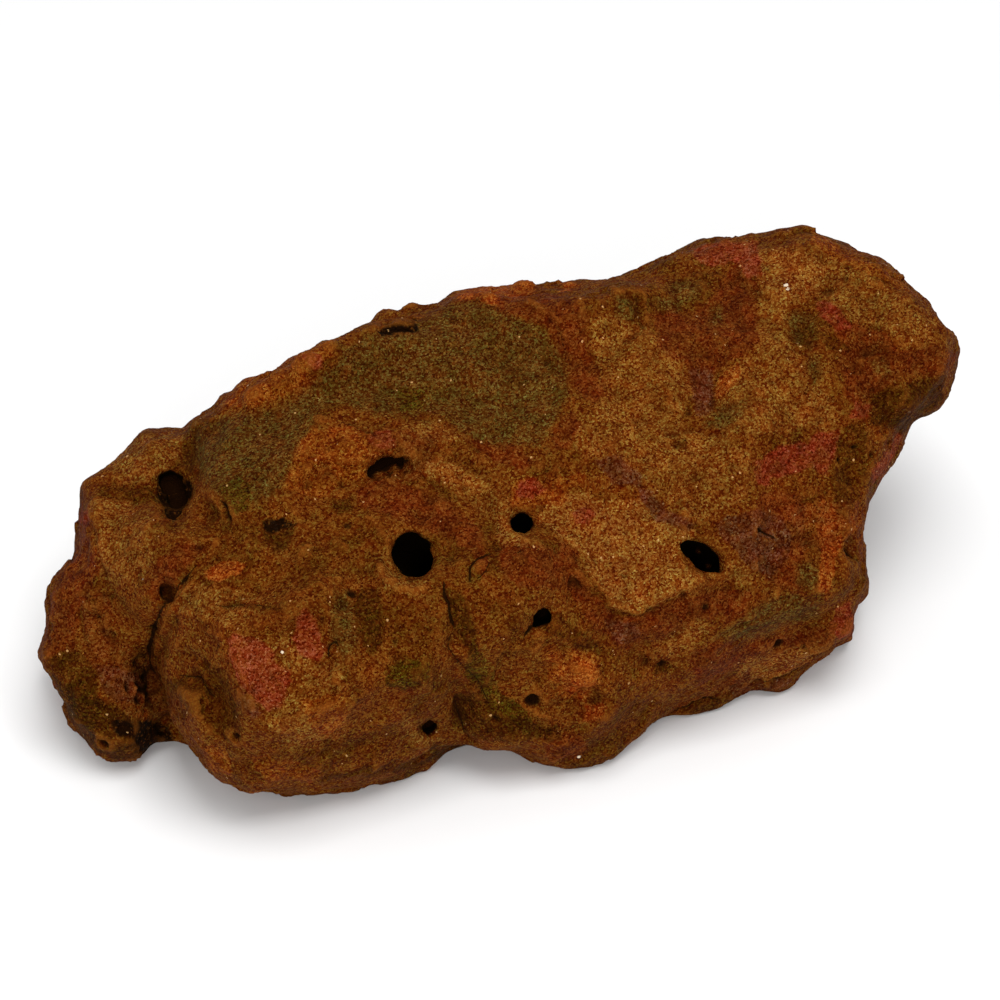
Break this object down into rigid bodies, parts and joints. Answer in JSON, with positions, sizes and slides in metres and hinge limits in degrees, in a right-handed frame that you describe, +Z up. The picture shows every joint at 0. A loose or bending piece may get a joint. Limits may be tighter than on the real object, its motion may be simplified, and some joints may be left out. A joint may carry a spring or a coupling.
{
  "type": "termite rock",
  "caption": "Weathered block of iron-stained sandstone with insect bores, pits, clefts and ledges, a hardscape stone for an aquarium or terrarium.",
  "frame": {"origin": "on the surface that the rock rests on, under the middle of its bounding box", "axes": "+X along its length, towards the taller overhanging end; +Z up; -Y towards the side seen in the picture"},
  "size_m": [0.2404, 0.1254, 0.0917],
  "materials": {
    "stone": "rough sandy break, ochre, rust, purple-brown and olive patches"
  },
  "bodies": {
    "root": {"rock": "stone"}
  },
  "joints": []
}
